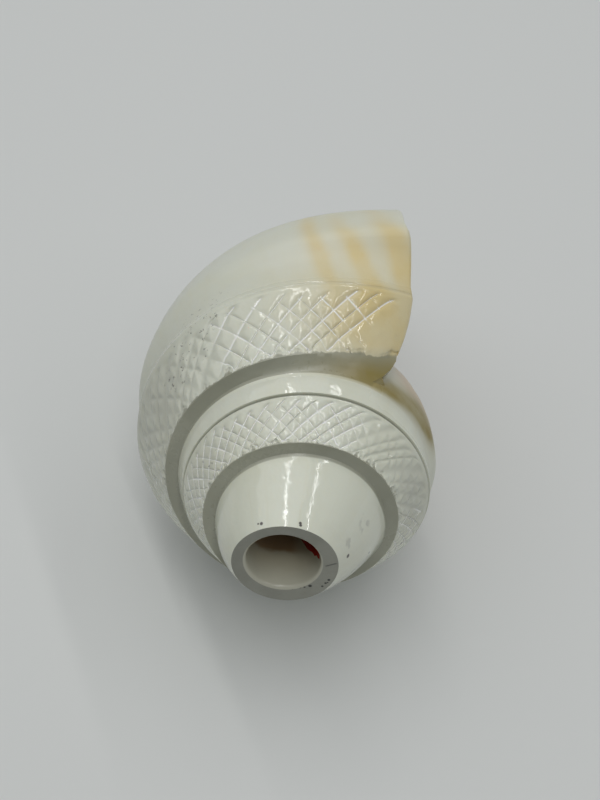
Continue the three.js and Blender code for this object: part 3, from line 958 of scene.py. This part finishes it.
def sawn_face():
    material, tree, shader, position = new_material("sawn_face")
    clouds = noise(tree, position, 150, 3.0)
    marks = noise(tree, position, 1400, 2.0)
    # Partly painted shade: the sawn ring is coloured dark grey.
    colour = blend_colour(tree, ramp(tree, clouds, 0.35, 0.65), SAWN_SHADED_PALE, SAWN_SHADED_DARK)
    colour = blend_colour(tree, hairline(tree, position, *RING_CRACK), colour, CRACK_GREY)
    colour = blend_colour(tree, specks(tree, position, RING_SPECKS), colour, SPECK_BLACK)
    feed(tree, shader.inputs["Base Color"], colour)
    feed(tree, shader.inputs["Roughness"], ramp(tree, marks, 0.3, 0.7, 0.32, 0.5))
    bump(tree, shader, marks)
    return material


def inner_glaze():
    material, tree, shader, _ = new_material("inner_glaze")
    streaks = noise(tree, growth_vector(tree, 40, 2.0), 1.0, 4.0, 0.6)
    colour = blend_colour(tree, ramp(tree, streaks, 0.35, 0.7), INNER_PALE, INNER_WARM)
    # Painted shade: darker and warmer deeper inside the hollow, away from the lip.
    colour = blend_colour(tree, mark_ramp(tree, "turn", -0.45, 0.0, 1.0, 0.0), colour, INNER_DEEP_SHADE)
    feed(tree, shader.inputs["Base Color"], colour)
    feed(tree, shader.inputs["Roughness"], ramp(tree, streaks, 0.3, 0.7, 0.12, 0.22))
    bump(tree, shader, streaks)
    return material


def bored_tip():
    material, tree, shader, position = new_material("bored_tip")
    clouds = noise(tree, position, 180, 3.0)
    depth = plus(tree, attribute(tree, "cut"), times(tree, clouds, 3.0))
    # Painted shade: the cup is coloured warmer and darker with depth.
    colour = blend_colour(tree, ramp(tree, depth, 3.0, 8.0), CUP_PALE, CUP_WARM_SHADED)
    across = node(tree, "ShaderNodeSeparateXYZ")
    feed(tree, across.inputs[0], position)
    left_side = ramp(tree, across.outputs[0], 0.0045, 0.007, 1.0, 0.35)
    # Painted shade of the deep throat: dark brown in the deepest part, strongest on the left.
    throat = times(tree, ramp(tree, depth, 8.6, 10.2), left_side)
    colour = blend_colour(tree, throat, colour, THROAT_SHADE_BROWN)
    ragged = times(tree, noise(tree, position, 700, 3.0), 1.8)
    stain = plus(tree, attribute(tree, "brown"), ragged)
    colour = blend_colour(tree, ramp(tree, stain, 1.42, 1.52), colour, STAIN_RED)
    feed(tree, shader.inputs["Base Color"], colour)
    feed(tree, shader.inputs["Roughness"], ramp(tree, clouds, 0.3, 0.7, 0.08, 0.16))
    bump(tree, shader, clouds)
    return material


def wear_flat(mesh):
    """Presses flat what would reach below the floor, as the worn flat of the solid does."""
    co = np.empty(len(mesh.vertices) * 3, np.float32)
    mesh.vertices.foreach_get("co", co)
    co = co.reshape(-1, 3)
    co[:, 2] = np.maximum(co[:, 2], 0)
    mesh.vertices.foreach_set("co", co.ravel())


def read_mark(mesh, name):
    values = np.empty(len(mesh.vertices), np.float32)
    mesh.attributes[name].data.foreach_get("value", values)
    return values


def add_stains(mesh, turn, along):
    """Writes the stains to the mesh; in the bore, brown holds the red stain."""
    shares = stains(turn, along)
    in_bore = turn < BORE_T + 0.05
    shares["brown"] = np.where(in_bore, along - BORE_S, shares["brown"])
    for name, values in shares.items():
        write_mark(mesh, name, values)


def smooth(mesh, turn, along):
    """Smooth shading, with sharp edges kept only outside the hatching."""
    mesh.shade_smooth()
    mesh.set_sharp_from_angle(angle=math.radians(SMOOTH_ANGLE))
    ends = np.empty(2 * len(mesh.edges), np.int32)
    mesh.edges.foreach_get("vertices", ends)
    carved = (np.abs(along + 0.125) < 0.118) & (turn < -0.008)
    sharp = mesh.attributes["sharp_edge"].data
    keep = np.empty(len(mesh.edges), bool)
    sharp.foreach_get("value", keep)
    sharp.foreach_set("value", keep & ~carved[ends.reshape(-1, 2)].all(1))


def shell_piece():
    """The whole shell as one mesh."""
    base = add_object(outside(), glazed_shell(), sawn_face())
    cutters = [add_object(hollow(), inner_glaze()), add_object(bore(), bored_tip())]
    mesh = joined(base, cutters)
    wear_flat(mesh)
    turn, along = read_mark(mesh, "turn"), read_mark(mesh, "along")
    add_stains(mesh, turn, along)
    smooth(mesh, turn, along)
    obj = bpy.data.objects.new("shell_skin", mesh)
    bpy.context.collection.objects.link(obj)
    return obj


def table_top():
    """Pale floor under the shell."""
    half = 3
    corners = [(-half, -half, 0), (half, -half, 0), (half, half, 0), (-half, half, 0)]
    mesh = bpy.data.meshes.new("floor")
    mesh.from_pydata(corners, [], [(0, 1, 2, 3)])
    paint = bpy.data.materials.new("floor_paint")
    paint.use_nodes = True
    shader = paint.node_tree.nodes["Principled BSDF"]
    shader.inputs["Base Color"].default_value = (0.675, 0.685, 0.665, 1)
    shader.inputs["Roughness"].default_value = 0.7
    return add_object(mesh, paint)


def area_light(name, at, turn, width, length, power):
    """Lamp that faces straight down, turned about the vertical."""
    light = bpy.data.lights.new(name, "AREA")
    light.shape = "RECTANGLE"
    light.size = width
    light.size_y = length
    light.energy = power
    obj = bpy.data.objects.new(name, light)
    obj.location = at
    obj.rotation_euler = (0, 0, math.radians(turn))
    obj.visible_camera = False
    bpy.context.collection.objects.link(obj)


def room_light():
    """A broad panel, two long parallel tube lamps and a dim room."""
    tube_turn, tube_width, tube_length, tube_power = 28, 0.045, 1.6, 2.6
    area_light("panel", (-0.55, 0.30, 1.2), 0, 1.8, 1.6, 7.4)
    for name, x in (("lamp_left", 0.048), ("lamp_right", 0.75)):
        area_light(name, (x, -0.025, 1.062), tube_turn, tube_width, tube_length, tube_power)
    world = bpy.data.worlds.new("room")
    bpy.context.scene.world = world
    world.use_nodes = True
    background = world.node_tree.nodes["Background"]
    background.inputs["Color"].default_value = (0.9, 0.95, 1, 1)
    background.inputs["Strength"].default_value = 0.24


def photo_camera():
    """Camera where the photo was taken, with colours shown as they are, without a film look."""
    data = bpy.data.cameras.new("camera")
    data.lens = 46.863
    camera = bpy.data.objects.new("camera", data)
    camera.location = (0.00942, -0.14954, 0.24203)
    camera.rotation_euler = [math.radians(a) for a in (34.8823, -1.9583, 5.4742)]
    bpy.context.collection.objects.link(camera)
    bpy.context.scene.camera = camera
    bpy.context.scene.view_settings.view_transform = "Standard"


shell = shell_piece()
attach(shell, "root")
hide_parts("shell")

floor = table_top()
room_light()
photo_camera()
